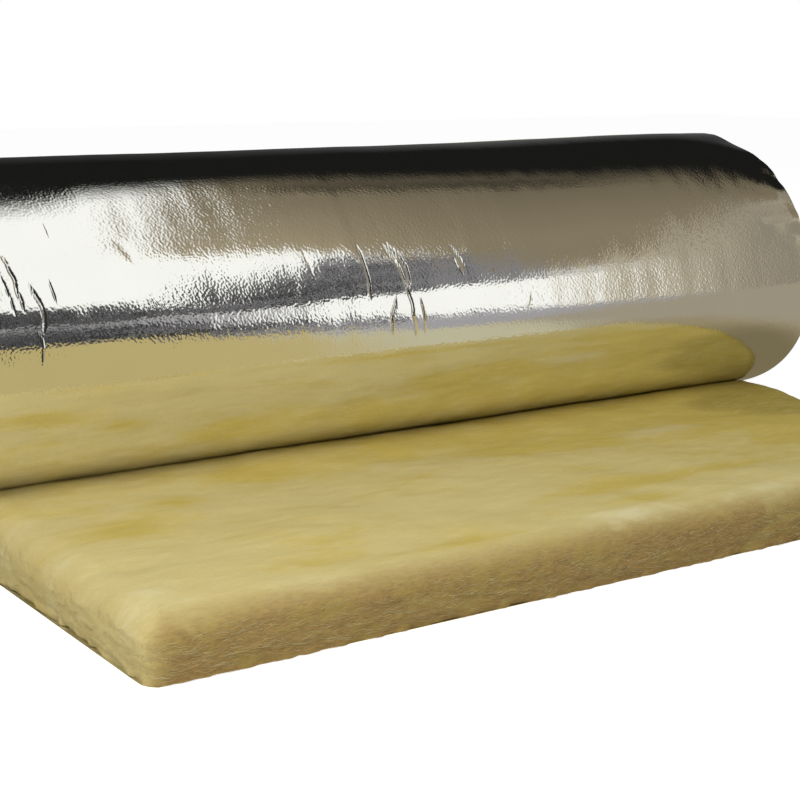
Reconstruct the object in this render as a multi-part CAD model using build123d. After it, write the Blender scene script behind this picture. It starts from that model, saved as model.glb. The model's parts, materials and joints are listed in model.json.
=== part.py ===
"""Foil-faced glass wool blanket, wound into a roll, with its outer end laid out in front as a tongue.

The blanket is two bonded layers: a thick wool blanket and a thin foil facing on its outer side.
The tongue lies on the floor, foil down. It runs back under the roll, up behind it, over the top and
down the front, and goes on inwards, turn by turn, to the open eye.

Frame: +X along the roll's axis, -Y the way the tongue runs out, +Z up.
The origin is on the floor, under the middle of the whole outline.
"""

import math
import os

from build123d import *

# Driving dimensions, in millimetres
blanket_width = 1200.0
wool_thickness = 65.0      # free thickness, as the tongue lies
facing_thickness = 0.25    # foil, scrim and paper laminate
roll_height = 430.0        # floor to the top of the roll
tongue_length = 550.0      # from below the roll's axis to the tongue's front edge
nest_depth = 6.0           # how far the roll's weight beds it into the tongue
turn_pitch = 32.0          # wool and facing together, squeezed in the wound turns
eye_radius = 35.0          # open middle of the winding
inner_wall_least = 15.0    # wool left between the last seam and the eye
seam_width = 3.0           # opening between two turns where they show on the ends
seam_depth = 10.0          # how far in from the ends that opening reaches
corner_radius = 12.0       # tongue's front corners, seen from above
edge_radius = 16.0         # soft upper edge of the tongue
cut_overrun = 5.0          # how far a cutting tool runs past a face

# The winding's own places. Behind the axis the outer turn stands on the floor, and in front of it
# the next turn stands in the tongue, so each half is turned about an axis of its own.
tongue_top = facing_thickness + wool_thickness
front_bottom = tongue_top - nest_depth
back_radius = roll_height / 2
front_radius = (roll_height - front_bottom) / 2
back_axis_z = back_radius
front_axis_z = front_bottom + front_radius
roll_y = (tongue_length - back_radius) / 2
tongue_front = roll_y - tongue_length
half_width = blanket_width / 2

# The front of the roll meets the tongue's top at this angle below the level of its axis.
crease_angle = math.degrees(math.asin((front_axis_z - tongue_top) / front_radius))

# Directions of turning about the roll's axis, seen from the end of the winding.
QUARTER_TURN = 90.0
HALF_TURN = 180.0
TOP_TO_FRONT = BOTTOM_TO_BACK = Vector(1, 0, 0)
TOP_TO_BACK = BOTTOM_TO_FRONT = Vector(-1, 0, 0)


def turned(axis_z, inner, outer, low_x, high_x, direction, arc=HALF_TURN, from_top=True):
    """A rectangle from radius inner to outer and from low_x to high_x, turned about the roll's axis."""
    side = 1 if from_top else -1
    plane = Plane(origin=(0, roll_y, axis_z), x_dir=(1, 0, 0), z_dir=(0, -1, 0))
    middle = Pos((low_x + high_x) / 2, side * (inner + outer) / 2)
    section = plane * middle * Rectangle(high_x - low_x, outer - inner)
    return revolve(section, Axis((0, roll_y, axis_z), direction), arc)


def tongue_outline():
    """The tongue seen from above, from its front edge to below the roll's axis."""
    outline = Pos(0, (tongue_front + roll_y) / 2) * Rectangle(blanket_width, tongue_length)
    front_corners = outline.vertices().group_by(Axis.Y)[0]
    return fillet(front_corners, corner_radius)


def tongue_wool():
    """The tongue's wool, with a soft upper edge along its front and both sides."""
    slab = extrude(Pos(0, 0, facing_thickness) * tongue_outline(), wool_thickness)
    upper_edges = slab.faces().sort_by(Axis.Z)[-1].edges()
    soft_edges = upper_edges.sort_by(Axis.Y)[:-1]
    return fillet(soft_edges, edge_radius)


def roll_wool():
    """The wound wool as two half-turned bodies, pierced by the eye."""
    back = turned(back_axis_z, 0, back_radius - facing_thickness, -half_width, half_width, TOP_TO_BACK)
    front = turned(front_axis_z, 0, front_radius - facing_thickness, -half_width, half_width, TOP_TO_FRONT)
    return back + front


def eye():
    """The open middle of the winding, right through the roll."""
    turning = Plane(origin=(0, roll_y, front_axis_z), z_dir=(1, 0, 0))
    return turning * Cylinder(eye_radius, blanket_width + 2 * cut_overrun)


def seam_arcs():
    """The line between the turns, from the crease inwards, as arcs: axis height, radius, direction, arc, start.

    Each half turn moves inwards by half the pitch, so the back arcs share an axis half a pitch
    below the one that the front arcs share.
    """
    turn_count = math.floor((front_radius - eye_radius - inner_wall_least) / turn_pitch)
    yield front_axis_z, front_radius, BOTTOM_TO_FRONT, QUARTER_TURN - crease_angle, False
    for turn in range(turn_count):
        back_seam_radius = front_radius - (turn + 1 / 2) * turn_pitch
        front_seam_radius = front_radius - (turn + 1) * turn_pitch
        yield front_axis_z - turn_pitch / 2, back_seam_radius, TOP_TO_BACK, HALF_TURN, True
        yield front_axis_z, front_seam_radius, TOP_TO_FRONT, HALF_TURN, True


def seams():
    """The openings between the turns on both ends of the roll."""
    ends = [
        (-half_width - cut_overrun, -half_width + seam_depth),
        (half_width - seam_depth, half_width + cut_overrun),
    ]
    return [
        turned(axis_z, radius - seam_width / 2, radius + seam_width / 2, low_x, high_x, direction, arc, from_top)
        for low_x, high_x in ends
        for axis_z, radius, direction, arc, from_top in seam_arcs()
    ]


def wool_blanket():
    """The whole wool layer: tongue and roll are one piece."""
    wool = tongue_wool() + roll_wool() - eye()
    for seam in seams():
        wool -= seam
    return wool


def foil_facing():
    """The foil on the outer side: under the tongue, up the back, over the top and down to the crease."""
    under = extrude(tongue_outline(), facing_thickness)
    back = turned(back_axis_z, back_radius - facing_thickness, back_radius, -half_width, half_width, TOP_TO_BACK)
    front = turned(
        front_axis_z,
        front_radius - facing_thickness,
        front_radius,
        -half_width,
        half_width,
        TOP_TO_FRONT,
        QUARTER_TURN + crease_angle,
    )
    return under + back + front


os.makedirs("parts", exist_ok=True)
export_step(wool_blanket(), "parts/wool_blanket.step")
export_step(foil_facing(), "parts/foil_facing.step")
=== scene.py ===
"""Looks of a foil-faced glass wool blanket that is wound into a roll, with its free end laid out as a tongue.

Every piece is a surface worked out on a grid of two parameters, in metres, in the frame of the solids:
+X along the roll's axis, -Y the way the tongue runs out, +Z up from the floor.
"""

import itertools
import json
import math

import bpy
import numpy as np
from bpy.props import FloatProperty, FloatVectorProperty, PointerProperty
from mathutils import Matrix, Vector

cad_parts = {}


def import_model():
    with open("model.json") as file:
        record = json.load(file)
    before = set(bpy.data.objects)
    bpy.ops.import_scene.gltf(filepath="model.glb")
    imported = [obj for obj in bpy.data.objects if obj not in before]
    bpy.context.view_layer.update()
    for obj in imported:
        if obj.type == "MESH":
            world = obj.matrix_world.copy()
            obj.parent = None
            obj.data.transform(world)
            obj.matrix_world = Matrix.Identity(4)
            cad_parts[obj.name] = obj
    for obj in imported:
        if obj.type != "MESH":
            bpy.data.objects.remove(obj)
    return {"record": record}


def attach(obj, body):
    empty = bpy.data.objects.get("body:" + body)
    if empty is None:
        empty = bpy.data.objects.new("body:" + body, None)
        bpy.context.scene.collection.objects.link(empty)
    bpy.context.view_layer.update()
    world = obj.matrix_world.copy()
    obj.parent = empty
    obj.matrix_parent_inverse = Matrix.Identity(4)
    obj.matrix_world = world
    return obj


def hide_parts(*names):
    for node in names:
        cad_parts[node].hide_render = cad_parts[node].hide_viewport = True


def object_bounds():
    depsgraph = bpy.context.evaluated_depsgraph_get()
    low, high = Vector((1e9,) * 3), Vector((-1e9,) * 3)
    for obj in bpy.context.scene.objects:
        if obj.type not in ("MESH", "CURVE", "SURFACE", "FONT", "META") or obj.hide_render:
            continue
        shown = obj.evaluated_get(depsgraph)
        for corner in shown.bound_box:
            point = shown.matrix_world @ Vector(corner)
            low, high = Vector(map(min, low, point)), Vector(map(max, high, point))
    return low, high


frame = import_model()

bl_info = {
    "name": "Foil-faced insulation roll",
    "version": (1, 0, 0),
    "blender": (4, 5, 0),
    "location": "View3D > Sidebar > Insulation roll",
    "description": "Dresses the solids of a foil-faced glass wool roll",
    "category": "Add Mesh",
}

CAD_LOW, CAD_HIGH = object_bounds()
EYE = next(mount for mount in frame["record"]["mounts"] if mount["name"] == "eye")
MM = 0.001


# Properties

class RollSizes(bpy.types.PropertyGroup):
    """Sizes of the blanket and of its winding."""

    width: FloatProperty(
        name="Width", description="Blanket's width, along the roll's axis",
        default=CAD_HIGH.x - CAD_LOW.x, unit="LENGTH")
    height: FloatProperty(
        name="Roll height", description="From the floor to the top of the roll",
        default=CAD_HIGH.z, unit="LENGTH")
    axis_y: FloatProperty(
        name="Axis place", description="Where the roll's axis stands along Y",
        default=EYE["pos_m"][1], unit="LENGTH")
    front_y: FloatProperty(
        name="Front place", description="Where the tongue's front edge lies along Y",
        default=CAD_LOW.y, unit="LENGTH")
    loft: FloatProperty(
        name="Loft", description="Free thickness of the wool", default=0.065, unit="LENGTH")
    facing: FloatProperty(
        name="Facing", description="Thickness of the foil laminate", default=0.0005, unit="LENGTH")
    nest: FloatProperty(
        name="Nest", description="How far the roll beds into the tongue", default=0.007, unit="LENGTH")
    swell: FloatProperty(
        name="Swell", description="How far the tongue rises before the roll", default=0.012, unit="LENGTH")
    pitch: FloatProperty(
        name="Pitch", description="From one wound turn to the next", default=0.032, unit="LENGTH")
    eye_radius: FloatProperty(
        name="Eye radius", description="Open middle of the winding",
        default=EYE["dims"]["r_mm"] * MM, unit="LENGTH")
    front_bulge: FloatProperty(
        name="Front bulge", description="How much deeper than round the front half is", default=0.09)
    front_sag: FloatProperty(
        name="Front sag", description="How much of the front half's depth has sunk down", default=0.17)
    back_bulge: FloatProperty(
        name="Back bulge", description="How much deeper than round the back half is", default=0.02)
    back_sag: FloatProperty(
        name="Back sag", description="How much of the back half's depth has sunk down", default=0.08)
    corner: FloatProperty(
        name="Corner", description="Radius of the tongue's front corners", default=0.022, unit="LENGTH")
    edge_drop: FloatProperty(
        name="Edge drop", description="Height of the tongue's soft upper edge",
        default=0.026, unit="LENGTH")
    edge_reach: FloatProperty(
        name="Edge reach", description="How far in the tongue's soft upper edge reaches",
        default=0.034, unit="LENGTH")


class FoilFinish(bpy.types.PropertyGroup):
    """Finish of the foil facing."""

    colour: FloatVectorProperty(
        name="Foil", description="Bare aluminium", subtype="COLOR", size=3, default=(0.92, 0.915, 0.90))
    roughness: FloatProperty(
        name="Roughness", description="Blur of the foil's mirror", default=0.055, subtype="FACTOR")
    emboss: FloatProperty(
        name="Emboss", description="Depth of the fine crinkle", default=0.00009, unit="LENGTH")


class WoolFinish(bpy.types.PropertyGroup):
    """Colours of the glass wool."""

    middle: FloatVectorProperty(
        name="Middle", description="Most of the wool", subtype="COLOR", size=3,
        default=(0.55, 0.455, 0.190))
    # Deep is a deeper tone of the wool, and also the base of the painted shade at the tongue's right end.
    deep: FloatVectorProperty(
        name="Deep", description="Patches with more binder", subtype="COLOR", size=3,
        default=(0.50, 0.385, 0.085))
    pale: FloatVectorProperty(
        name="Pale", description="Loose pale tufts", subtype="COLOR", size=3, default=(0.63, 0.565, 0.325))
    # Cut: partly the cut faces' own brown and partly painted shade, which darkens the tongue's front face.
    cut: FloatVectorProperty(
        name="Cut", description="Cut faces", subtype="COLOR", size=3, default=(0.222, 0.139, 0.046))


class StageLook(bpy.types.PropertyGroup):
    """Floor, light and camera."""

    floor: FloatVectorProperty(
        name="Floor", description="Colour of the floor", subtype="COLOR", size=3,
        default=(0.85, 0.85, 0.85))
    warm: FloatVectorProperty(
        name="Warm floor", description="Floor before the tongue in the foil's mirror",
        subtype="COLOR", size=3, default=(0.525, 0.433, 0.188))
    taupe: FloatVectorProperty(
        name="Ceiling", description="Ceiling in the foil's mirror", subtype="COLOR", size=3,
        default=(0.222, 0.185, 0.120))
    slate: FloatVectorProperty(
        name="Screen", description="Dark screen in the foil's mirror", subtype="COLOR", size=3,
        default=(0.090, 0.088, 0.090))
    beige: FloatVectorProperty(
        name="Side wall", description="Side wall in the foil's mirror", subtype="COLOR", size=3,
        default=(0.345, 0.305, 0.225))
    khaki: FloatVectorProperty(
        name="Pale floor", description="Floor to the right of the warm one in the foil's mirror",
        subtype="COLOR", size=3, default=(0.545, 0.512, 0.350))
    dim: FloatVectorProperty(
        name="Dim floor", description="Floor beside the tongue in the foil's mirror",
        subtype="COLOR", size=3, default=(0.20, 0.165, 0.090))
    fill: FloatProperty(
        name="Fill", description="Strength of the even light from all round", default=0.42)
    key_power: FloatProperty(
        name="Key light", description="Power of the lamp at the front on the left",
        default=38.0, unit="POWER")
    top_power: FloatProperty(
        name="Top light", description="Power of the lamp overhead", default=19.0, unit="POWER")
    camera_place: FloatVectorProperty(
        name="Camera", description="Place of the camera", subtype="TRANSLATION", size=3,
        default=(-1.168, -1.6074, 0.5305))
    camera_yaw: FloatProperty(
        name="Camera yaw", description="Turned from +Y towards +X",
        default=math.radians(34.126), subtype="ANGLE")
    camera_pitch: FloatProperty(
        name="Camera pitch", description="Tilt below the level",
        default=math.radians(11.581), subtype="ANGLE")
    lens: FloatProperty(
        name="Lens", description="Focal length on a 36 mm sensor", default=73.42, unit="CAMERA")


# Fields

NOISE_CELLS = 1024


def lattice_noise(seed, *coordinates):
    """A smooth random field from -1 to 1, one cell per unit of the coordinates.

    Each lattice point has a random value, found by walking a shuffled table once for each coordinate.
    Inside a cell the corner values are blended with the quintic fade 6f^5 - 15f^4 + 10f^3.
    """
    random = np.random.default_rng(seed)
    values = random.uniform(-1.0, 1.0, NOISE_CELLS)
    shuffled = random.permutation(NOISE_CELLS)
    coordinates = np.broadcast_arrays(*coordinates)
    cells = [np.floor(c).astype(np.int64) for c in coordinates]
    parts = [c - k for c, k in zip(coordinates, cells)]
    fades = [f**3 * (f * (6.0 * f - 15.0) + 10.0) for f in parts]
    total = np.zeros(coordinates[0].shape)
    for corner in itertools.product((0, 1), repeat=len(coordinates)):
        index = np.zeros(coordinates[0].shape, dtype=np.int64)
        weight = np.ones(coordinates[0].shape)
        for cell, fade, step in zip(cells, fades, corner):
            index = shuffled[(index + cell + step) % NOISE_CELLS]
            weight = weight * (fade if step else 1.0 - fade)
        total += weight * values[index]
    return total


def smooth_step(low, high, value):
    """0 below low, 1 above high, and 3f^2 - 2f^3 between."""
    f = np.clip((value - low) / (high - low), 0.0, 1.0)
    return f * f * (3.0 - 2.0 * f)


# Winding

FINE_STEPS = 4000


def winding_line(sizes, half_turns):
    """The foil's line across the roll's axis, as depth behind the axis, height, and outward normal.

    Half turn 0 runs from the floor up the back to the top, half turn 1 from the top down the front to the
    tongue, and so on inwards. Each is half an oval between two heights: depth is radius * (1 + bulge) *
    cos(angle) * (1 - sag * sin(angle)), and height is middle + radius * sin(angle).
    """
    a = np.asarray(half_turns, dtype=float)
    bottom = sizes.loft - sizes.nest

    def knot(k):
        turn = (k - 1) // 2
        below = np.where(k == 0, 0.0, bottom + (k / 2 - 1) * sizes.pitch)
        above = sizes.height - turn * sizes.pitch
        return np.where(k % 2 == 0, below, above)

    def place(value):
        k = np.floor(value)
        start, end = knot(k), knot(k + 1)
        radius = abs(end - start) / 2
        back = k % 2 == 0
        angle = (value - k - 0.5) * math.pi
        rise = np.where(back, np.sin(angle), -np.sin(angle))
        soft = radius / (sizes.height / 2)
        bulge = np.where(back, sizes.back_bulge, sizes.front_bulge) * soft
        sag = np.where(back, sizes.back_sag, sizes.front_sag) * soft
        depth = radius * (1 + bulge) * np.cos(angle) * (1 - sag * rise)
        return np.where(back, depth, -depth), (start + end) / 2 + radius * rise

    step = 1e-4
    depth, height = place(a)
    depth_low, height_low = place(np.maximum(a - step, 0.0))
    depth_high, height_high = place(a + step)
    along = np.stack([depth_high - depth_low, height_high - height_low])
    along /= np.linalg.norm(along, axis=0)
    return depth, height, along[1], -along[0]


def even_half_turns(sizes, start, end, spacing):
    """Half-turn counts from start to end, about spacing apart along the line, and the length at each."""
    fine = np.linspace(start, end, FINE_STEPS)
    depth, height, _, _ = winding_line(sizes, fine)
    length = np.concatenate([[0.0], np.cumsum(np.hypot(np.diff(depth), np.diff(height)))])
    count = max(2, round(length[-1] / spacing) + 1)
    even = np.linspace(0.0, length[-1], count)
    return np.interp(even, length, fine), even


def winding_end(sizes):
    """The half-turn count at which the winding's inner side reaches the eye's radius, less a spare end."""
    spare = 0.6
    bottom = sizes.loft - sizes.nest
    outer = (sizes.height - bottom) / 2
    return 2.0 * (outer - sizes.eye_radius) / sizes.pitch - spare


# Meshes

def grid_faces(rows, columns, wrap):
    """Quads of a grid, row after row; wrap joins the last column to the first."""
    across = columns if wrap else columns - 1
    r, c = np.meshgrid(np.arange(rows - 1), np.arange(across), indexing="ij")
    following = (c + 1) % columns
    corners = [r * columns + c, r * columns + following, (r + 1) * columns + following, (r + 1) * columns + c]
    return np.stack(corners, axis=-1).reshape(-1, 4)


def closed_tube(rows, columns):
    """Faces of a grid whose last column joins the first, with its first and last row closed."""
    first = list(range(columns))
    last = [(rows - 1) * columns + c for c in range(columns)]
    return grid_faces(rows, columns, wrap=True).tolist() + [first[::-1], last]


def stacked(*parts):
    """Arrays spread to one shape and put side by side along a new last axis."""
    return np.stack(np.broadcast_arrays(*parts), axis=-1)


def add_piece(name, points, faces, material, node=None, uv=None, marks=None, sharp_degrees=50.0):
    mesh = bpy.data.meshes.new(name)
    mesh.from_pydata(points.reshape(-1, 3).tolist(), [], faces)
    mesh.polygons.foreach_set("use_smooth", np.ones(len(mesh.polygons), dtype=bool))
    mesh.set_sharp_from_angle(angle=math.radians(sharp_degrees))
    corners = np.empty(len(mesh.loops), dtype=np.int32)
    mesh.loops.foreach_get("vertex_index", corners)
    if uv is not None:
        layer = mesh.uv_layers.new(name="along")
        layer.data.foreach_set("uv", uv.reshape(-1, 2)[corners].ravel())
    for mark, values in (marks or {}).items():
        attribute = mesh.attributes.new(name=mark, type="FLOAT", domain="POINT")
        attribute.data.foreach_set("value", np.ascontiguousarray(values, dtype=np.float32).ravel())
    mesh.materials.append(material)
    mesh.validate()
    piece = bpy.data.objects.new(name, mesh)
    bpy.context.scene.collection.objects.link(piece)
    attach(piece, "root")
    if node:
        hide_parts(node)
    return piece


# Foil

FOIL_COLUMNS = 660
INNER_COLUMNS = 14

# Creases of the foil on the roll's front: depth and half width in millimetres, and the line's places from
# its upper end to its lower one, each as millimetres along X and half-turn count. A negative depth is a
# ridge.
CREASES = (
    (1.0, 0.7, ((-570, 1.330), (-566, 1.348), (-563, 1.370), (-562, 1.401), (-558, 1.425))),
    (0.4, 0.7, ((-576, 1.370), (-573, 1.396), (-568, 1.435))),
    (1.1, 0.7, ((-549, 1.390), (-542, 1.409), (-538, 1.425), (-537, 1.446), (-541, 1.466))),
    (-0.3, 0.7, ((-549, 1.462), (-544, 1.483), (-543, 1.497), (-545, 1.520), (-548, 1.553),
                 (-549, 1.605))),
    (0.3, 0.7, ((-511, 1.268), (-513, 1.306))),
    (0.2, 0.7, ((-472, 1.305), (-466, 1.334))),
    (0.4, 5.0, ((-436, 1.316), (-430, 1.339), (-425, 1.364))),
    (0.4, 0.7, ((-525, 1.384), (-522, 1.420))),
    (0.4, 0.7, ((-215, 1.368), (-210, 1.400))),
    (0.9, 0.7, ((-142, 1.362), (-138, 1.384), (-137, 1.409), (-137, 1.432), (-139, 1.460))),
    (1.3, 0.7, ((-100, 1.364), (-88, 1.384), (-81, 1.407), (-79, 1.430), (-85, 1.455), (-83, 1.479),
                (-81, 1.507), (-79, 1.545))),
    (0.7, 0.7, ((-106, 1.364), (-97, 1.387), (-90, 1.410), (-88, 1.440))),
    (1.0, 0.7, ((-104, 1.470), (-112, 1.499), (-112, 1.536))),
    (0.6, 0.7, ((-69, 1.475), (-66, 1.518), (-67, 1.542))),
    (0.7, 0.7, ((-10, 1.372), (-2, 1.393), (6, 1.422))),
    (-0.5, 0.7, ((-8, 1.395), (-1, 1.432))),
    (0.5, 0.7, ((99, 1.486), (91, 1.524))),
)


def creases(along, across, half_turns):
    """Depth of the creases, each faded at its ends.

    A crease is a trough depth * exp(-|offset| / half width) about its line, which wavers a little.
    """
    total = 0.0
    for depth, half_width, places in CREASES:
        line_x, line_turn = np.array(places).T
        line_x = line_x * MM
        waver = 0.0012 * lattice_noise(14, along / 0.007, 90.0 * line_x[0] + 0.0 * along)
        line = np.interp(half_turns, line_turn, line_x) + waver
        first, last = line_turn[0], line_turn[-1]
        fade = smooth_step(first - 0.006, first + 0.010, half_turns)
        fade = fade * (1.0 - smooth_step(last - 0.014, last + 0.008, half_turns))
        total = total + depth * MM * fade * np.exp(-abs(across - line) / (half_width * MM))
    return total


def foil_relief(sizes, along, across, half_turns):
    """How far the foil stands out from its line, over the length along it and the place across.

    Slow lumps of a hand's breadth, deeper on the back, and longer ripples that run round the roll, less the
    creases. Towards the right end the top stands proud, and the end's upper edge is pressed flat and
    crumpled, as bumps exp(-offset^2).
    """
    wound = smooth_step(0.0, 0.25, half_turns) * (1.0 - smooth_step(1.90, 1.98, half_turns))
    lumps = (
        0.0009 * lattice_noise(11, along / 0.15, across / 0.24)
        + 0.0002 * lattice_noise(12, along / 0.07, across / 0.08)
    )
    lumps = lumps * (1.0 + 2.4 * (1.0 - smooth_step(0.80, 1.05, half_turns)))
    ripples = 0.00008 * lattice_noise(13, along / 0.16, across / 0.022)
    near_end = np.exp(-np.maximum(sizes.width / 2 - across, 0.0) / 0.05)

    def bump(middle, reach):
        return np.exp(-((half_turns - middle) / reach) ** 2)

    proud = 0.0038 * smooth_step(0.10, 0.50, across) * bump(0.97, 0.11)
    pressed = -0.0085 * bump(1.08, 0.085) + 0.0020 * bump(1.32, 0.05)
    crumple = 0.0016 * lattice_noise(15, along / 0.016, across / 0.03) * smooth_step(1.12, 1.24, half_turns)
    crumple = crumple * (1.0 - smooth_step(1.34, 1.50, half_turns)) * near_end**2
    relief = wound * (lumps + ripples + proud + near_end * pressed + crumple)
    return relief - creases(along, across, half_turns)


# Stretches of the width with closer columns: from and to along X in metres, and how much closer.
CLOSE_STRETCHES = (
    (-0.585, -0.505, 7.0), (-0.150, -0.058, 7.0), (-0.220, -0.203, 3.0),
    (-0.016, 0.012, 5.0), (0.085, 0.105, 4.0), (0.540, 0.610, 0.8),
)


def foil_columns(sizes, count):
    """Places across the width, closer together where the creases lie: even steps of the summed density."""
    fine_steps = 6000
    fade = 0.012
    fine = np.linspace(-0.5, 0.5, fine_steps)
    density = np.ones(len(fine))
    place = fine * sizes.width
    for low, high, more in CLOSE_STRETCHES:
        density += more * smooth_step(low - fade, low, place) * (1.0 - smooth_step(high, high + fade, place))
    total = np.cumsum(density)
    total = (total - total[0]) / (total[-1] - total[0])
    return np.interp(np.linspace(0.0, 1.0, count), total, fine) * sizes.width


def foil_rows(sizes):
    """Rows along the foil, from the tongue's front edge to below the roll.

    Each has its depth behind the axis, height, outward normal, length along the foil and half-turn count.
    """
    set_back = 0.003
    flat_shares = np.array([1.0, 0.998, 0.99, 0.975, 0.95, 0.7, 0.35])
    flat = (sizes.axis_y - sizes.front_y - set_back) * flat_shares
    runs = ((0.0, 1.0, 0.020), (1.0, 1.25, 0.008), (1.25, 1.62, 0.0038), (1.62, 2.0, 0.010))
    half_turns, length = np.zeros(1), np.zeros(1)
    for start, end, spacing in runs:
        turns, run = even_half_turns(sizes, start, end, spacing)
        half_turns = np.concatenate([half_turns, turns[1:]])
        length = np.concatenate([length, length[-1] + run[1:]])
    depth, height, normal_y, normal_z = winding_line(sizes, half_turns)
    zeros = np.zeros(len(flat))
    return (
        np.concatenate([-flat, depth]),
        np.concatenate([zeros, height]),
        np.concatenate([zeros, normal_y]),
        np.concatenate([zeros - 1.0, normal_z]),
        np.concatenate([-flat, length]),
        np.concatenate([zeros - 1.0, half_turns]),
    )


def foil_skin(sizes, material):
    """The foil as a thin closed skin: a loop of outer and inner places across, carried along its line."""
    depth, height, normal_y, normal_z, length, half_turns = (v[:, None] for v in foil_rows(sizes))
    outer = foil_columns(sizes, FOIL_COLUMNS)
    inner = np.linspace(0.5, -0.5, INNER_COLUMNS) * sizes.width
    across = np.concatenate([outer, inner])[None, :]
    is_inner = np.concatenate([np.zeros(len(outer)), np.ones(len(inner))])[None, :]
    from_front = np.maximum(depth + sizes.axis_y - sizes.front_y, 0.0)
    short = np.maximum(sizes.corner - from_front, 0.0)
    rounding = sizes.corner - np.sqrt(np.maximum(sizes.corner**2 - short**2, 0.0))
    narrowing = np.where(half_turns < 0, rounding, 0.0)
    across = across * (1.0 - narrowing / (sizes.width / 2))
    relief = foil_relief(sizes, length, across, half_turns)
    out = relief - is_inner * sizes.facing
    points = stacked(across, sizes.axis_y + depth + normal_y * out, height + normal_z * out)
    faces = closed_tube(*points.shape[:2])
    uv = stacked(across, length)
    return add_piece("foil_facing_skin", points, faces, material, "foil_facing", uv=uv)


def foil_edges(sizes, material):
    """The foil's edges between the wound turns: a thin ribbon along the winding just inside each end."""
    spacing = 0.006
    reach = 0.030
    set_back = 0.0005
    half_turns, length = even_half_turns(sizes, 2.0, winding_end(sizes), spacing)
    depth, height, normal_y, normal_z = (v[:, None] for v in winding_line(sizes, half_turns))
    corner_across = np.array([0.0, 0.0, 1.0, 1.0])
    corner_out = np.array([0.0, 1.0, 1.0, 0.0])
    blocks, faces, uvs = [], [], []
    for side in (-1.0, 1.0):
        wobble = (
            0.0010 * lattice_noise(21, length / 0.03 + 40.0 * side)
            + 0.0012 * lattice_noise(22, length / 0.2 + 9.0 * side)
        )
        tip = sizes.width / 2 - set_back + wobble
        across = side * (tip[:, None] - reach * (1.0 - corner_across))
        out = (corner_out * sizes.facing)[None, :]
        points = stacked(across, sizes.axis_y + depth - normal_y * out, height - normal_z * out)
        start = sum(len(b) for b in blocks)
        loops = closed_tube(*points.shape[:2])
        if side < 0:
            loops = [loop[::-1] for loop in loops]
        faces += [[start + v for v in loop] for loop in loops]
        blocks.append(points.reshape(-1, 3))
        uvs.append(stacked(across, length[:, None]).reshape(-1, 2))
    points = np.concatenate(blocks)
    return add_piece("foil_edge_turns", points, faces, material, uv=np.concatenate(uvs))


# Wool

WOOL_SPACING = 0.0042
END_POINTS = 19
FACE_POINTS = 5


def winding_points(sizes):
    """The wound wool's grid: points, whether on a cut end, length along the winding, depth through the strip.

    A soft-edged strip between one turn of the foil's line and the next is carried along that line. A point's
    share through the strip goes from 0 at the outer line to 1 at the line one turn further in. On the two cut
    ends the strip is domed, its tufts lie along the winding, and some turns stand out a little. Between the
    ends its outer face keeps well inside the foil.
    """
    end_gap, face_gap, inner_gap = 0.0007, 0.008, 0.0003
    half_turns, length = even_half_turns(sizes, 0.0, winding_end(sizes) - 2.0, WOOL_SPACING)
    outer_depth, outer_height, normal_y, normal_z = winding_line(sizes, half_turns)
    inner_depth, inner_height, _, _ = winding_line(sizes, half_turns + 2.0)
    share_end = np.linspace(0.0, 1.0, END_POINTS)
    share_face = np.linspace(0.0, 1.0, FACE_POINTS + 2)[1:-1]
    end, face = np.ones(END_POINTS), np.ones(FACE_POINTS)
    share = np.concatenate([share_end, face, share_end[::-1], 0.0 * face])[None, :]
    side = np.concatenate([end, 1.0 - 2.0 * share_face, -end, 2.0 * share_face - 1.0])[None, :]
    on_end = (abs(side) > 0.99).astype(float)
    along = length[:, None]
    thickness = np.hypot(outer_depth - inner_depth, outer_height - inner_height)[:, None]
    through = share * thickness
    edge_round = 0.0055 * abs(2.0 * share - 1.0) ** 5
    telescope = 0.0022 * lattice_noise(31, along / 0.35 + 50.0 * side) - 0.001
    tufts = (
        0.0012 * lattice_noise(32, along / 0.035 + 20.0 * side, through / 0.006)
        + 0.0008 * lattice_noise(33, along / 0.012, through / 0.0035 + 7.0 * side)
        + 0.0016 * lattice_noise(34, along / 0.07 + 3.0 * side, through / 0.018)
    )
    half = sizes.width / 2 + on_end * (telescope + tufts - edge_round)
    turns = half_turns[:, None]
    relief = foil_relief(sizes, along, side * sizes.width / 2, turns) * (turns < 2.0)
    gap = end_gap + (1.0 - on_end) * face_gap - on_end * relief
    start_depth = outer_depth[:, None] - normal_y[:, None] * gap
    start_height = outer_height[:, None] - normal_z[:, None] * gap
    end_depth = inner_depth[:, None] + normal_y[:, None] * inner_gap
    end_height = inner_height[:, None] + normal_z[:, None] * inner_gap
    points = stacked(
        side * half,
        sizes.axis_y + start_depth + (end_depth - start_depth) * share,
        start_height + (end_height - start_height) * share,
    )
    return points, np.broadcast_to(on_end, points.shape[:2]), along, through


def wound_wool(sizes, material):
    """The wound wool: its grid, closed at the winding's start and at its eye."""
    points, on_end, along, through = winding_points(sizes)
    faces = [loop[::-1] for loop in closed_tube(*points.shape[:2])]
    # The roll's cut ends take half of the cut faces' darker colour, which is partly painted shade.
    return add_piece("wool_winding", points, faces, material, "wool_blanket",
                     uv=stacked(along, through), marks={"cut_face": 0.5 * on_end})


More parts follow.
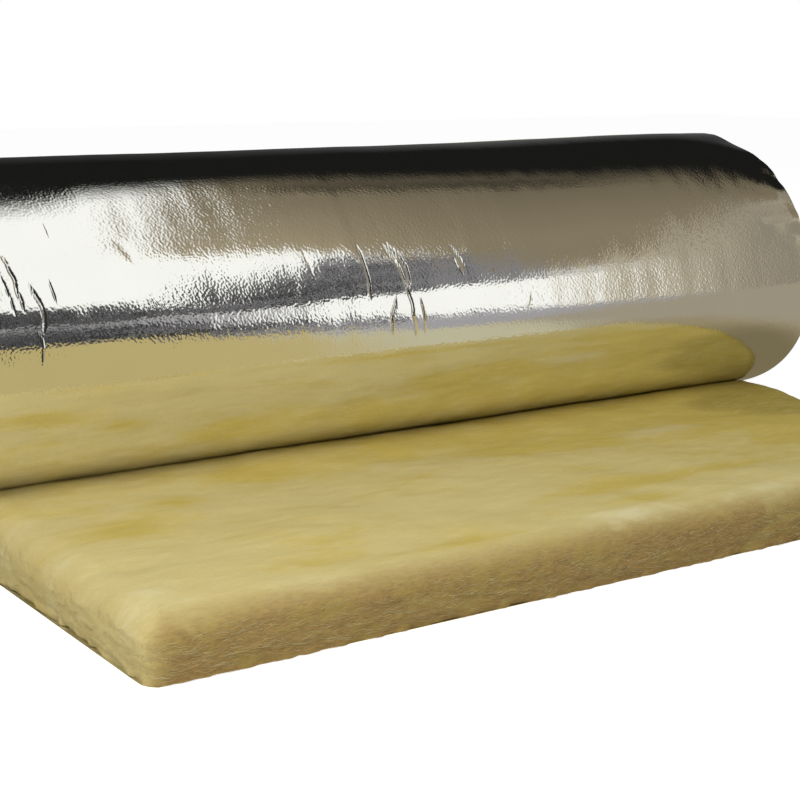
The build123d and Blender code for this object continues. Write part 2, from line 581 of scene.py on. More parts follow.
def tongue_outline(sizes, inset, spacing):
    """Points of the tongue's outline moved in by inset, and the way out from it, as x, y, out_x, out_y.

    The outline starts under the roll's axis, runs along the left side, round a corner arc, along the front,
    round the other corner and back along the right side. The corner arcs shrink as the outline moves in, and
    past their radius they are mitred.
    """
    half = sizes.width / 2
    back = sizes.axis_y
    front = sizes.front_y
    sides = round((back - front) / spacing)
    fronts = round(sizes.width / spacing)
    arcs = 9
    down = np.linspace(0.0, 1.0, sides)[None, :]
    over = np.linspace(-1.0, 1.0, fronts)[None, :]
    swing = (np.linspace(0.0, 0.5, arcs + 2)[1:-1] * math.pi)[None, :]
    d = np.asarray(inset, dtype=float)[:, None]
    mitre = np.maximum(sizes.corner, d)
    radius = np.maximum(sizes.corner - d, 0.0)
    corner_y = front + mitre
    left_x = -half + d + 0.0 * down
    left_y = back + (corner_y - back) * down
    arc_x = (half - mitre) + radius * np.cos(swing)
    arc_y = corner_y - radius * np.sin(swing)
    front_x = (half - mitre) * over
    front_y = front + d + 0.0 * over
    x = np.concatenate([left_x, -arc_x, front_x, arc_x[:, ::-1], -left_x], axis=1)
    y = np.concatenate([left_y, arc_y, front_y, arc_y[:, ::-1], left_y[:, ::-1]], axis=1)
    flat = np.zeros((1, sides))
    level = np.zeros((1, fronts))
    out_x = np.concatenate([flat - 1.0, -np.cos(swing), level, np.cos(swing)[:, ::-1], flat + 1.0], axis=1)
    out_y = np.concatenate([flat, -np.sin(swing), level - 1.0, -np.sin(swing)[:, ::-1], flat], axis=1)
    return x, y, np.broadcast_to(out_x, x.shape), np.broadcast_to(out_y, x.shape)


# Soft patches on the tongue: place along X and Y and reach along X and Y, in millimetres, and how pale
# (above 0) or deep (below 0). The deep ones at 490 and 600 mm along X, at the right end, are painted shade
# of that end.
PATCHES = (
    (-585, -45, 40, 30, 0.5), (-590, -165, 30, 35, 0.5), (-590, -250, 30, 50, 0.4),
    (-570, -335, 45, 40, 0.6), (-420, -358, 60, 20, 0.6), (-280, -365, 80, 20, 0.4),
    (-20, -358, 75, 22, 0.9), (167, -362, 70, 20, 0.5), (-385, 9, 50, 20, 0.4),
    (-104, -234, 80, 20, 0.35), (272, -85, 60, 15, 0.5), (-480, -260, 80, 60, 0.3),
    (-500, -110, 60, 35, -0.7), (-410, -52, 35, 18, -0.7), (-600, -130, 30, 10, -0.5),
    (-280, 3, 50, 20, -0.8), (-300, -197, 80, 50, -0.1), (30, -55, 70, 28, -0.7), (-67, 25, 50, 20, -0.6),
    (150, -70, 60, 28, -0.6), (10, -258, 100, 28, -0.5), (30, -320, 70, 18, -0.7),
    (100, -267, 50, 20, -0.5), (226, -264, 70, 20, -0.5), (-270, -345, 90, 15, -0.5),
    (420, -10, 60, 25, -0.4), (400, -200, 80, 30, -0.4), (480, -330, 80, 20, 0.3),
    (530, -120, 50, 40, 0.1), (300, -90, 330, 240, -0.45), (100, 20, 600, 60, -0.6),
    (300, -348, 140, 25, 0.5), (490, -40, 130, 110, -0.6), (-420, -120, 140, 150, -0.2),
    (-400, -300, 80, 70, -0.3), (-210, -330, 80, 55, -0.25), (600, -50, 170, 140, -1.6),
)


def tongue_points(sizes):
    """The tongue's grid: points, how far each shows as a cut face, and how pale or deep it is.

    An edge profile is carried round the tongue's outline, and on over the top by moving the outline in. Going
    up, the profile is the cut face, a quarter of an ellipse, then the top. The top is lumpy, rises before the
    roll, most at its right end, and is pressed down under it. The cut faces have fine layers that lie level,
    and a ragged lower edge. A patch is a soft spot amount * exp(-offset^2). The cut faces' darker colour is
    partly their own brown and partly painted shade: it is full on the front face and about a third on the
    sides. The deep patches at the right end are painted shade of that end.
    """
    face_rows, turn_rows, close_rows, most_rows = 17, 12, 9, 119
    close_step, wide_step = 0.003, 0.0047
    end_margin, roll_gap = 0.002, 0.0008
    length = sizes.axis_y - sizes.front_y
    face = np.linspace(0.0, 1.0, face_rows)
    turn = np.linspace(0.0, 0.5, turn_rows + 1)[1:] * math.pi
    close = np.arange(1, close_rows + 1) * close_step
    wide = close_rows * close_step + np.arange(1, most_rows + 1) * wide_step
    top_inset = sizes.edge_reach + np.concatenate([close, wide])
    top_inset = top_inset[top_inset < length - end_margin]
    inset = np.concatenate([0.0 * face, sizes.edge_reach * (1.0 - np.cos(turn)), top_inset])
    rise = np.concatenate([
        face * (sizes.loft - sizes.edge_drop),
        sizes.loft - sizes.edge_drop + sizes.edge_drop * np.sin(turn),
        sizes.loft + 0.0 * top_inset,
    ])[:, None] / sizes.loft
    sideways = np.concatenate([1.0 + 0.0 * face, np.cos(turn), 0.0 * top_inset])[:, None]
    x, y, out_x, out_y = tongue_outline(sizes, inset, WOOL_SPACING)
    lumps = (
        0.0028 * lattice_noise(41, x / 0.16, y / 0.11)
        + 0.0015 * lattice_noise(42, x / 0.06, y / 0.045)
        + 0.0006 * lattice_noise(43, x / 0.028, y / 0.011)
    )
    crown = 0.003 * np.exp(-inset / 0.06)[:, None]
    line_y, line_z, _, _ = winding_line(sizes, np.linspace(1.5, 2.0, 400))
    touch = np.interp(-sizes.loft - sizes.swell, -line_z, line_y) + sizes.axis_y
    right = smooth_step(0.30, 0.60, x)
    near_roll = smooth_step(touch - 0.11 - 0.07 * right, touch + 0.01 - 0.04 * right, y)
    swell = sizes.swell * (1.0 + 0.3 * right) * near_roll
    top = sizes.loft + lumps + swell - crown - sizes.facing
    roll_bottom = np.interp(y - sizes.axis_y, line_y, line_z, left=1.0, right=line_z[-1])
    top = np.minimum(top, roll_bottom - roll_gap)
    low = 1.0 - smooth_step(0.0, 0.14, rise)
    torn = np.maximum(lattice_noise(48, x / 0.008, y / 0.008) + 0.1, 0.0)
    z = sizes.facing + rise * top + 0.0009 * low * torn
    layers = (
        0.0012 * lattice_noise(44, x / 0.05, y / 0.05, z / 0.006)
        + 0.0009 * lattice_noise(45, x / 0.018, y / 0.018, z / 0.0035)
        + 0.0026 * lattice_noise(46, x / 0.11, y / 0.11, z / 0.045)
    )
    belly = 0.004 * np.sin(np.pi * np.clip(rise, 0.0, 1.0)) - 0.002
    ragged = 0.0022 * lattice_noise(47, x / 0.010, y / 0.010) * low
    out = sideways * (layers + ragged + belly)
    points = np.stack([x + out_x * out, y + out_y * out, z], axis=-1)
    patch = np.zeros(x.shape)
    for *spot, amount in PATCHES:
        place_x, place_y, reach_x, reach_y = (MM * v for v in spot)
        patch = patch + amount * np.exp(-((x - place_x) / reach_x) ** 2 - ((y - place_y) / reach_y) ** 2)
    # The cut faces' darker colour, partly painted shade: full on the front face, and about a third on the
    # sides, which are painted lighter.
    cut_face = sideways**1.4 * (0.35 + 0.65 * out_y**2)
    return points, cut_face, patch


def tongue_wool(sizes, material):
    """The tongue's wool: its grid, closed below and behind."""
    points, cut_face, patch = tongue_points(sizes)
    rows, columns = points.shape[:2]
    left = [r * columns for r in range(rows)]
    right = [r * columns + columns - 1 for r in range(rows)]
    last = [(rows - 1) * columns + c for c in range(1, columns - 1)]
    under = list(range(columns))
    faces = grid_faces(rows, columns, wrap=False).tolist() + [under[::-1], left + last + right[::-1]]
    return add_piece("wool_tongue", points, faces, material, "wool_blanket",
                     marks={"cut_face": cut_face, "patch": patch})


def unit(vectors):
    """Vectors of length 1."""
    return vectors / np.linalg.norm(vectors, axis=-1, keepdims=True)


FIBRE_RINGS = 4
FIBRE_SIDES = 3


def loose_fibres(name, material, points, normals, lay, count, spread, seed):
    """Loose fibres on a surface, each a thin three-sided bar along a bent line.

    At share s from -1/2 to 1/2 the line is centre + lay * length * s + side * bend * 4 s^2 + normal * (rise +
    arch * (1 - 4 s^2)), where side is normal x lay. The centres are picked at random from the surface's
    points, and a fibre that would come within floor_gap of the floor is left out.
    """
    reach, rise, floor_gap = 0.003, 0.0001, 0.001
    corners = FIBRE_RINGS * FIBRE_SIDES
    random = np.random.default_rng(seed)
    pick = random.integers(0, len(points), count)
    normal = normals[pick]
    swing = random.normal(0.0, spread, (count, 1))
    along = unit(lay[pick] * np.cos(swing) + np.cross(normal, lay[pick]) * np.sin(swing))
    side = np.cross(normal, along)
    length = random.uniform(0.006, 0.018, (count, 1, 1))
    bend = random.normal(0.0, 0.0010, (count, 1, 1))
    arch = random.uniform(-0.0003, 0.0006, (count, 1, 1))
    centre = points[pick] + along * random.uniform(-reach, reach, (count, 1))
    centre = centre + side * random.uniform(-reach, reach, (count, 1))
    share = np.linspace(-0.5, 0.5, FIBRE_RINGS)[None, :, None]
    along, side, normal = along[:, None, :], side[:, None, :], normal[:, None, :]
    line = centre[:, None, :] + along * length * share + side * bend * 4.0 * share**2
    line = line + normal * (rise + arch * (1.0 - 4.0 * share**2))
    corner = (np.arange(FIBRE_SIDES) * 2.0 * math.pi / FIBRE_SIDES)[None, None, :, None]
    radius = random.uniform(0.00005, 0.00012, (count, 1, 1, 1))
    ring = radius * (np.cos(corner) * side[:, :, None, :] + np.sin(corner) * normal[:, :, None, :])
    bars = line[:, :, None, :] + ring
    bars = bars[bars[..., 2].min(axis=(1, 2)) > floor_gap]
    count = len(bars)
    first = np.arange(count)[:, None, None] * corners
    quads = (first + grid_faces(FIBRE_RINGS, FIBRE_SIDES, wrap=True)[None]).reshape(-1, 4)
    ring_end = np.arange(FIBRE_SIDES)
    caps = np.stack([ring_end[::-1], corners - FIBRE_SIDES + ring_end])
    caps = (first + caps[None]).reshape(-1, FIBRE_SIDES)
    tone = np.repeat(random.uniform(0.0, 1.0, count), corners)
    faces = quads.tolist() + caps.tolist()
    return add_piece(name, bars, faces, material, marks={"tone": tone}, sharp_degrees=180.0)


def grid_normals(points):
    """Unit normals of a grid: the step along a row crossed with the step from row to row."""
    return unit(np.cross(np.gradient(points, axis=1), np.gradient(points, axis=0)))


def tongue_fibres(sizes, material):
    """Loose fibres on the tongue's steep cut faces in front of the roll, most of them lying level."""
    points, _, _ = tongue_points(sizes)
    normals = grid_normals(points)
    grain = np.array([1.0, 0.35, 0.0])
    lay = unit(grain - normals * (normals @ grain)[..., None])
    meeting, lowest, steep = 1.86, 0.006, 0.5
    line_y, _, _, _ = winding_line(sizes, np.array([meeting]))
    in_front = points[..., 1] < sizes.axis_y + line_y[0]
    free = in_front & (points[..., 2] > lowest) & (normals[..., 2] < steep)
    return loose_fibres("wool_tongue_fibres", material, points[free], normals[free], lay[free],
                        count=4200, spread=0.17, seed=51)


def end_fibres(sizes, material):
    """Loose fibres on the roll's two cut ends, on the middle of each turn and lying along it."""
    middle = 0.65
    points, on_end = winding_points(sizes)[:2]
    normals = -grid_normals(points)
    lay = unit(np.gradient(points, axis=0))
    end = np.abs(np.linspace(-1.0, 1.0, END_POINTS)) < middle
    face = np.zeros(FACE_POINTS, bool)
    keep = np.broadcast_to(np.concatenate([end, face, end, face]), on_end.shape)
    return loose_fibres("wool_end_fibres", material, points[keep], normals[keep], lay[keep],
                        count=6000, spread=0.12, seed=52)


# Materials

class Value:
    """A number in a node tree. Arithmetic on it adds Math nodes."""

    def __init__(self, tree, socket):
        self.tree = tree
        self.socket = socket

    def math(self, operation, *others):
        """A Math node of that operation on the given values."""
        node = self.tree.nodes.new("ShaderNodeMath")
        node.operation = operation
        for slot, value in zip(node.inputs, others):
            connect(self.tree, value, slot)
        return Value(self.tree, node.outputs[0])

    def __add__(self, other):
        return self.math("ADD", self, other)

    def __sub__(self, other):
        return self.math("SUBTRACT", self, other)

    def __rsub__(self, other):
        return self.math("SUBTRACT", other, self)

    def __mul__(self, other):
        return self.math("MULTIPLY", self, other)

    __radd__ = __add__
    __rmul__ = __mul__


def connect(tree, value, socket):
    """Links a Value to a socket, or sets the socket's own value."""
    if isinstance(value, Value):
        tree.links.new(value.socket, socket)
    else:
        socket.default_value = value


class Paint:
    """The node tree of one material, or of the world."""

    def __init__(self, owner):
        owner.use_nodes = True
        self.owner = owner
        self.tree = owner.node_tree
        self.tree.nodes.clear()

    def node(self, kind, settings=None, output=0, **inputs):
        """A node of that type, with its settings made and its sockets linked or set; gives its outputs."""
        node = self.tree.nodes.new(kind)
        for key, value in (settings or {}).items():
            setattr(node, key, value)
        for key, value in inputs.items():
            connect(self.tree, value, node.inputs[key.replace("_", " ")])
        if isinstance(output, tuple):
            return tuple(Value(self.tree, node.outputs[name]) for name in output)
        return None if output is None else Value(self.tree, node.outputs[output])

    def noise(self, place, scale, detail=2.0, **more):
        """Noise from 0 to 1 at a place, scale cells to the unit."""
        return self.node("ShaderNodeTexNoise", None, 0, Vector=place, Scale=scale, Detail=detail, **more)

    def place(self, kind="Object", size=(1.0, 1.0, 1.0), turn=0.0):
        """Object coordinates or the piece's own UV map, turned about Z and then counted in units of size."""
        if kind == "Object":
            source = self.node("ShaderNodeTexCoord", None, "Object")
        else:
            source = self.node("ShaderNodeUVMap", {"uv_map": kind})
        return self.node("ShaderNodeMapping", {"vector_type": "TEXTURE"}, 0, Vector=source,
                         Rotation=(0.0, 0.0, turn), Scale=size)

    def mark(self, name):
        """A number that the piece carries on its points."""
        return self.node("ShaderNodeAttribute", {"attribute_name": name}, "Fac")

    def mix(self, share, first, second):
        """A colour between two colours."""
        node = self.tree.nodes.new("ShaderNodeMix")
        node.data_type = "RGBA"
        connect(self.tree, share, node.inputs[0])
        connect(self.tree, first, node.inputs[6])
        connect(self.tree, second, node.inputs[7])
        return Value(self.tree, node.outputs[2])

    def step(self, value, low, high, to_low=0.0, to_high=1.0, shape="SMOOTHSTEP"):
        """A smooth or straight step of a value, from low to high."""
        return self.node("ShaderNodeMapRange", {"interpolation_type": shape}, 0, Value=value,
                         From_Min=low, From_Max=high, To_Min=to_low, To_Max=to_high)

    def slide(self, value, low, high, to_low, to_high):
        """A straight slide from to_low at low to to_high at high, level beyond them."""
        return self.step(value, low, high, to_low, to_high, "LINEAR")

    def bump(self, height, distance):
        """A surface normal from a height; distance is the height of 1, in metres."""
        return self.node("ShaderNodeBump", None, 0, Height=height, Distance=distance, Strength=1.0)

    def surface(self, **inputs):
        """The material's one shader."""
        shader = self.node("ShaderNodeBsdfPrincipled", None, 0, **inputs)
        self.node("ShaderNodeOutputMaterial", None, None, Surface=shader)
        return self.owner


def solid_colour(colour, share=1.0):
    """A colour with full alpha, times a share."""
    return (*(share * c for c in colour), 1.0)


def foil_paint(finish):
    """Bright foil: a fine leaning crinkle over small grains and slow swells, worn flatter in patches."""
    paint = Paint(bpy.data.materials.new("bright_foil"))
    lean = math.radians(57.0)
    crinkle = paint.noise(paint.place("along", (0.0070, 0.0036, 1.0), lean), 1.0, 0.5, Distortion=0.5)
    grain = paint.noise(paint.place("along", (0.0030, 0.0030, 1.0)), 1.0, 0.0)
    flat = paint.place("along")
    swell = paint.noise(flat, 45.0, 2.0)
    worn = paint.step(paint.noise(flat, 8.0, 2.0), 0.35, 0.65, 0.6, 1.0)
    height = (0.75 * crinkle + grain) * worn + 1.2 * swell
    roughness = finish.roughness + 0.06 * paint.noise(flat, 25.0, 3.0) - 0.03
    bright, dull = solid_colour(finish.colour), solid_colour(finish.colour, 0.94)
    shade = paint.mix(paint.noise(flat, 14.0, 3.0), bright, dull)
    return paint.surface(
        Base_Color=shade, Metallic=1.0, Roughness=roughness, Normal=paint.bump(height, finish.emboss))


def wool_colour(paint, finish, place, streaks, layers):
    """Wool's colour, from a cloud and wisps of noise and the piece's own patches.

    Deep and pale patches lie over the middle colour, with thin pale and dark streaks. The deepest patches
    turn
    darker still: this is painted shade at the tongue's right end. The cut faces have dark and light layers
    with yellow wisps, and their darker colour is partly painted shade.
    """
    cloud = paint.noise(place, 1.0, 4.0, Roughness=0.6, Distortion=0.3)
    wisps = paint.noise(place, 2.3, 5.0, Roughness=0.65, Distortion=0.8)
    patch = paint.mark("patch")
    # Mark of the cut faces and of their painted shade.
    cut = paint.mark("cut_face")
    deep = paint.step(0.9 * cloud + 0.45 * wisps - 0.55 * patch, 0.66, 1.15)
    pale = paint.step(0.55 * cloud + 0.85 * wisps + 0.75 * patch, 0.80, 1.45)
    colour = paint.mix(deep * 0.9, solid_colour(finish.middle), solid_colour(finish.deep))
    # Painted shade: where the patches add up below -1.4, at the tongue's right end, the wool turns darker
    # still.
    colour = paint.mix(paint.step(patch, -1.4, -2.1) * 0.95, colour, solid_colour(finish.deep, 0.68))
    colour = paint.mix(pale * 0.95, colour, solid_colour(finish.pale))
    colour = paint.mix(paint.step(streaks, 0.48, 0.76) * 0.40, colour, solid_colour(finish.pale))
    colour = paint.mix(paint.step(streaks, 0.48, 0.22) * 0.16, colour, solid_colour(finish.deep, 0.6))
    dark_layer, light_layer = solid_colour(finish.cut, 0.74), solid_colour(finish.cut, 1.28)
    face = paint.mix(paint.step(layers, 0.30, 0.70), dark_layer, light_layer)
    face = paint.mix(paint.step(wisps, 0.44, 0.62) * 0.40, face, solid_colour(finish.deep, 0.55))
    return paint.mix(cut * (0.92 - 0.45 * pale), colour, face)


def wool_paint(name, finish, coordinates, streak_size, layer_size):
    """Matte glass wool: soft patches of colour, streaks along the blanket and layers on its cut faces."""
    paint = Paint(bpy.data.materials.new(name))
    patch_size = (0.105, 0.070, 0.060)
    fibre_height = 0.0010
    place = paint.place("Object", patch_size)
    streaks = paint.noise(paint.place(coordinates, streak_size), 1.0, 5.0, Roughness=0.68, Distortion=0.35)
    layers = paint.noise(paint.place(coordinates, layer_size), 1.0, 4.0, Roughness=0.65, Distortion=0.6)
    fluff = paint.noise(paint.place("Object"), 260.0, 3.0)
    # Mark of the cut faces and of their painted shade, used here for the bump only.
    cut = paint.mark("cut_face")
    height = (0.5 * streaks + fluff) * (0.40 - 0.40 * cut) + (0.7 * layers + 0.5 * fluff) * cut
    return paint.surface(
        Base_Color=wool_colour(paint, finish, place, streaks, layers), Roughness=1.0, Specular_IOR_Level=0.12,
        Normal=paint.bump(height, fibre_height))


def fibre_paint(finish):
    """Loose glass fibres, from pale to deep."""
    paint = Paint(bpy.data.materials.new("loose_fibre"))
    colour = paint.mix(paint.mark("tone"), solid_colour(finish.pale), solid_colour(finish.middle, 0.80))
    return paint.surface(Base_Color=colour, Roughness=0.6, Specular_IOR_Level=0.3)


# Stage

def stage_plane(name, corners, material):
    """A flat four-cornered sheet of the stage."""
    mesh = bpy.data.meshes.new(name)
    mesh.from_pydata(corners, [], [(0, 1, 2, 3)])
    mesh.materials.append(material)
    sheet = bpy.data.objects.new(name, mesh)
    bpy.context.scene.collection.objects.link(sheet)


def floor_paint(look):
    """A pale floor, white to the camera where no shadow falls, and coloured in the foil's mirror.

    In front of the roll the mirror shows it warm, then khaki and beige to the right, dim beside the tongue
    and slate far out. Each is a mask from smooth steps of x and y.
    """
    paint = Paint(bpy.data.materials.new("pale_floor"))
    seen, mirrored = paint.node("ShaderNodeLightPath", None, ("Is Camera Ray", "Is Glossy Ray"))
    place = paint.node("ShaderNodeTexCoord", None, "Object")
    x, y = paint.node("ShaderNodeSeparateXYZ", None, ("X", "Y"), Vector=place)
    across = x + 0.55 * y
    near = paint.mix(paint.step(across, -0.25, 0.05), solid_colour(look.warm), solid_colour(look.khaki))
    near = paint.mix(paint.step(across, 0.20, 0.50), near, solid_colour(look.beige, 1.05))
    edge = 0.8 * paint.step(y, -0.75, -0.42) * paint.step(across, 0.25, 0.45) * paint.step(x, 0.90, 0.72)
    near = paint.mix(edge, near, solid_colour(look.dim, 1.6))
    far = paint.step(y, -1.25, -1.75) * paint.step(across, 0.0, 0.2) * paint.step(x + y, 0.1, -0.5)
    beside = paint.step(x, 0.84, 0.72) * paint.step(y, -0.35, -0.10)
    warm = paint.mix(beside, paint.mix(far, near, solid_colour(look.slate, 4.2)), solid_colour(look.dim))
    front = paint.step(y, 0.45, 0.15)
    black = (0.0, 0.0, 0.0, 1.0)
    lifted = (0.62, 0.62, 0.62, 1.0)
    # In the foil's mirror the floor's front is black and glows with the warm colours instead: a painted
    # reflection, with painted shade where it is dim beside the tongue.
    colour = paint.mix(mirrored * front, solid_colour(look.floor), black)
    lift = paint.mix(mirrored * front, paint.mix(seen, black, lifted), warm)
    return paint.surface(
        Base_Color=colour, Roughness=1.0, Specular_IOR_Level=0.0, Emission_Color=lift, Emission_Strength=1.0)


def add_floor(look):
    """The floor, a little below the part so that the two don't share a plane."""
    size = 12.0
    drop = -0.0006
    corners = [(-size, -size, drop), (size, -size, drop), (size, size, drop), (-size, size, drop)]
    stage_plane("floor", corners, floor_paint(look))


def mirrored_room(paint, look):
    """The room that the foil mirrors, over a ray's direction x and its tilt about X from the front floor up.

    On the right, seen from the front floor upwards: a warm floor, a mottled dark foot, a strip that goes from
    slate to white, a mottled slate screen that is highest in its middle, a white window, a taupe ceiling with
    a dark streak, and a black back wall, with a beige wall at the far right. On the left: a dark gap near the
    floor, white, and a slate band above. Each is a mask from steps of x and of the tilt in degrees.
    """
    toward = paint.node("ShaderNodeTexCoord", None, "Generated")
    x, y, z = paint.node("ShaderNodeSeparateXYZ", None, ("X", "Y", "Z"), Vector=toward)
    tilt = z.math("ARCTAN2", z, 0.0 - y) * (180.0 / math.pi)

    def above(edge, soft):
        return paint.step(tilt - edge, -soft, soft)

    def below(edge, soft):
        return 1.0 - above(edge, soft)

    def past(edge, soft):
        return paint.step(x, edge - soft, edge + soft)

    def before(edge, soft):
        return 1.0 - past(edge, soft)

    def across(low, high):
        return paint.slide(x, low, high, 0.0, 1.0)

    def edge_line(first, *more):
        line = paint.slide(x, *first)
        for slide in more:
            line = line + paint.slide(x, *slide)
        return line

    def shades(share, colour, first, last):
        return paint.mix(share, solid_colour(colour, first), solid_colour(colour, last))

    dark_edge = edge_line(
        (0.35, 0.40, 93.0, 104.0), (0.42, 0.48, 0.0, 3.5), (0.49, 0.56, 0.0, -6.5),
        (0.56, 0.65, 0.0, -2.0), (0.61, 0.66, 0.0, -3.5), (0.69, 0.73, 0.0, -18.0))
    ceiling_edge = edge_line((0.45, 0.56, 61.0, 49.0), (0.56, 0.61, 0.0, -19.0))
    screen_top = edge_line(
        (0.395, 0.445, 32.5, 25.5), (0.452, 0.476, 0.0, 12.5), (0.476, 0.527, 0.0, 15.0),
        (0.527, 0.560, 0.0, -7.0), (0.590, 0.638, 0.0, -17.0))
    screen_foot = edge_line((0.50, 0.63, 20.5, 25.5))
    strip_foot = edge_line((0.44, 0.55, 17.5, 5.0), (0.56, 0.64, 0.0, -5.0))
    warm_edge = edge_line((0.42, 0.52, 9.0, -1.5))
    side_edge = edge_line((0.66, 0.73, 35.0, 79.0))

    window = (1.03, 1.04, 0.99, 1.0)
    black = (0.010, 0.010, 0.009, 1.0)
    rise = paint.slide(tilt, 55.0, 89.0, 0.0, 1.0)
    taupe = shades(rise, look.taupe, 1.70, 1.0)
    taupe = paint.mix(across(0.49, 0.60), taupe, shades(rise, look.taupe, 1.12, 0.72))
    mottle = paint.step(paint.noise(toward, 38.0, 1.0), 0.42, 0.60) * paint.slide(x, 0.545, 0.590, 0.9, 0.0)
    slate = shades(across(0.36, 0.53), look.slate, 1.5, 2.5)
    slate = paint.mix(across(0.545, 0.60), slate, solid_colour(look.slate, 2.6))
    slate = paint.mix(mottle, slate, black)
    strip = shades(across(0.385, 0.44), look.slate, 1.5, 4.4)
    strip = paint.mix(paint.step(x, 0.482, 0.515), strip, window)
    foot = shades(across(0.36, 0.45), look.slate, 1.25, 2.3)
    foot = paint.mix(across(0.485, 0.535), foot, solid_colour(look.slate, 5.2))
    foot = paint.mix(mottle, foot, black)
    beige = shades(across(0.655, 0.735), look.beige, 1.5, 0.80)
    back = shades(across(0.45, 0.60), look.slate, 0.6, 1.5)
    back = paint.mix(paint.slide(tilt, 144.0, 182.0, 0.0, 1.0), black, back)
    screen = above(screen_foot, 1.0) * below(screen_top, 1.2) * before(0.64, 0.03)
    streak = above(dark_edge - 9.0, 3.0) * below(dark_edge - 2.0, 3.0)
    streak = 0.65 * streak * past(0.485, 0.02) * before(0.645, 0.015)
    left = before(0.29, 0.04)
    band = above(112.0, 13.0) * below(142.0, 13.0) * left
    gap = before(0.30, 0.03) * past(-0.45, 0.03) * below(58.0, 4.0)

    colour = paint.mix(above(ceiling_edge, 2.0) * past(0.441, 0.028), window, taupe)
    colour = paint.mix(above(dark_edge, 10.0) * (1.0 - left), colour, back)
    colour = paint.mix(streak, colour, black)
    colour = paint.mix(band, colour, solid_colour(look.slate, 1.8))
    colour = paint.mix(below(screen_foot, 1.0) * (1.0 - left), colour, strip)
    colour = paint.mix(screen, colour, slate)
    colour = paint.mix(below(strip_foot, 1.5), colour, foot)
    colour = paint.mix(below(warm_edge, 1.0), colour, solid_colour(look.warm))
    colour = paint.mix(below(side_edge, 4.0) * past(0.649, 0.023), colour, beige)
    return paint.mix(gap, colour, solid_colour(look.slate, 0.3))


def add_world(look):
    """White to the camera, the mirrored room to the foil, and a soft even light for the rest."""
    world = bpy.data.worlds.new("studio")
    paint = Paint(world)
    seen, mirrored = paint.node("ShaderNodeLightPath", None, ("Is Camera Ray", "Is Glossy Ray"))
    colour = paint.mix(mirrored, (1.0, 1.0, 1.0, 1.0), mirrored_room(paint, look))
    strength = paint.slide(seen + mirrored, 0.0, 1.0, look.fill, 1.0)
    background = paint.node("ShaderNodeBackground", None, 0, Color=colour, Strength=strength)
    paint.node("ShaderNodeOutputWorld", None, None, Surface=background)
    bpy.context.scene.world = world


def add_lamp(name, place, target, size, power):
    """A square soft lamp that points at a target."""
    data = bpy.data.lights.new(name, "AREA")
    data.energy = power
    data.size = size
    lamp = bpy.data.objects.new(name, data)
    bpy.context.scene.collection.objects.link(lamp)
    away = [p - t for p, t in zip(place, target)]
    flat = math.hypot(away[0], away[1])
    lamp.location = place
    lamp.rotation_euler = (math.atan2(flat, away[2]), 0.0, math.atan2(away[1], away[0]) + math.pi / 2)
    lamp.visible_glossy = False


def add_camera(look):
    """The camera at the photograph's place, level from side to side."""
    data = bpy.data.cameras.new("camera")
    data.sensor_width = 36.0
    data.lens = look.lens
    data.clip_end = 100.0
    camera = bpy.data.objects.new("camera", data)
    bpy.context.scene.collection.objects.link(camera)
    camera.location = look.camera_place
    camera.rotation_euler = (math.pi / 2 - look.camera_pitch, 0.0, -look.camera_yaw)
    bpy.context.scene.camera = camera


# Operators

class ROLL_OT_foil(bpy.types.Operator):
    """Make the foil facing and its edges between the turns"""

    bl_idname = "insulation_roll.foil"
    bl_label = "Foil facing"

    def execute(self, context):
        material = foil_paint(context.scene.foil_finish)
        foil_skin(context.scene.roll_sizes, material)
        foil_edges(context.scene.roll_sizes, material)
        return {"FINISHED"}


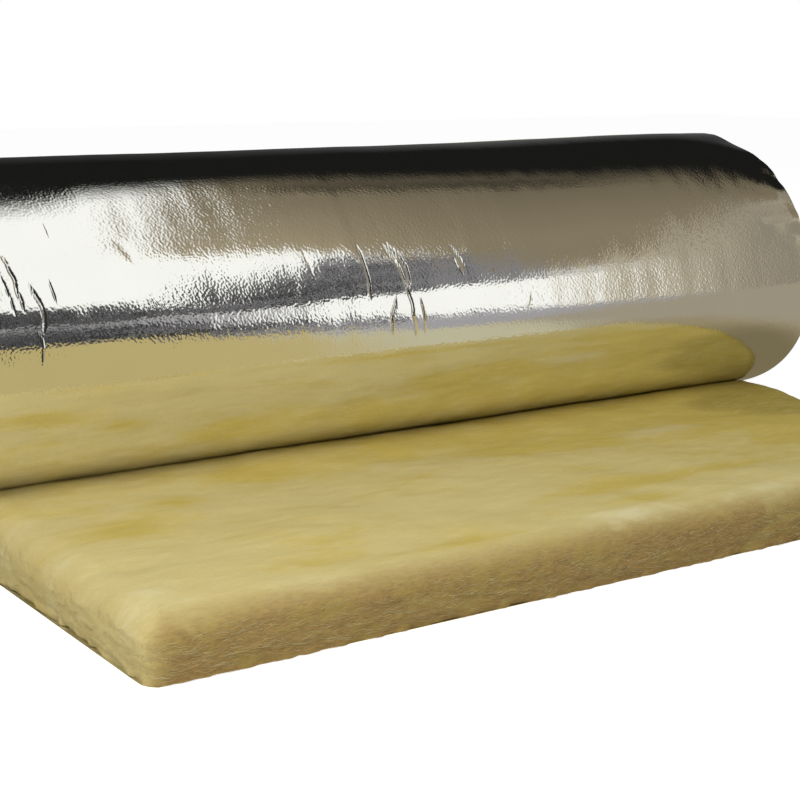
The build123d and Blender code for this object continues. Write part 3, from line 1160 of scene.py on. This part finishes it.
class ROLL_OT_wool(bpy.types.Operator):
    """Make the wool of the tongue and of the wound roll"""

    bl_idname = "insulation_roll.wool"
    bl_label = "Glass wool"

    def execute(self, context):
        finish = context.scene.wool_finish
        sizes = context.scene.roll_sizes
        flat = wool_paint("tongue_wool", finish, "Object",
                          streak_size=(0.024, 0.0030, 0.0028), layer_size=(0.0085, 0.0085, 0.0017))
        wound = wool_paint("wound_wool", finish, "along",
                           streak_size=(0.022, 0.0026, 1.0), layer_size=(0.011, 0.0019, 1.0))
        fibre = fibre_paint(finish)
        tongue_wool(sizes, flat)
        wound_wool(sizes, wound)
        tongue_fibres(sizes, fibre)
        end_fibres(sizes, fibre)
        return {"FINISHED"}


class ROLL_OT_stage(bpy.types.Operator):
    """Make the floor, the light and the camera"""

    bl_idname = "insulation_roll.stage"
    bl_label = "Stage"

    def execute(self, context):
        look = context.scene.stage_look
        add_floor(look)
        add_world(look)
        middle = (0.0, 0.0, 0.1)
        add_lamp("key", (-1.6, -1.5, 1.5), middle, size=1.4, power=look.key_power)
        add_lamp("top", (-1.0, -1.5, 2.2), middle, size=2.0, power=look.top_power)
        add_camera(look)
        context.scene.view_settings.view_transform = "Standard"
        return {"FINISHED"}


class ROLL_PT_sidebar(bpy.types.Panel):
    """Lists what can be made"""

    bl_idname = "ROLL_PT_sidebar"
    bl_label = "Insulation roll"
    bl_space_type = "VIEW_3D"
    bl_region_type = "UI"
    bl_category = "Insulation roll"

    def draw(self, context):
        for operator in OPERATORS:
            self.layout.operator(operator.bl_idname)
        for name in SETTINGS:
            settings = getattr(context.scene, name)
            for key in settings.__annotations__:
                self.layout.prop(settings, key)


SETTINGS = {
    "roll_sizes": RollSizes,
    "foil_finish": FoilFinish,
    "wool_finish": WoolFinish,
    "stage_look": StageLook,
}
OPERATORS = (ROLL_OT_foil, ROLL_OT_wool, ROLL_OT_stage)


def register():
    for group in SETTINGS.values():
        bpy.utils.register_class(group)
    for name, group in SETTINGS.items():
        setattr(bpy.types.Scene, name, PointerProperty(type=group))
    for operator in OPERATORS:
        bpy.utils.register_class(operator)
    bpy.utils.register_class(ROLL_PT_sidebar)


def unregister():
    bpy.utils.unregister_class(ROLL_PT_sidebar)
    for operator in reversed(OPERATORS):
        bpy.utils.unregister_class(operator)
    for name, group in reversed(SETTINGS.items()):
        delattr(bpy.types.Scene, name)
        bpy.utils.unregister_class(group)


def main():
    register()
    bpy.ops.insulation_roll.foil()
    bpy.ops.insulation_roll.wool()
    bpy.ops.insulation_roll.stage()


if __name__ == "__main__":
    main()
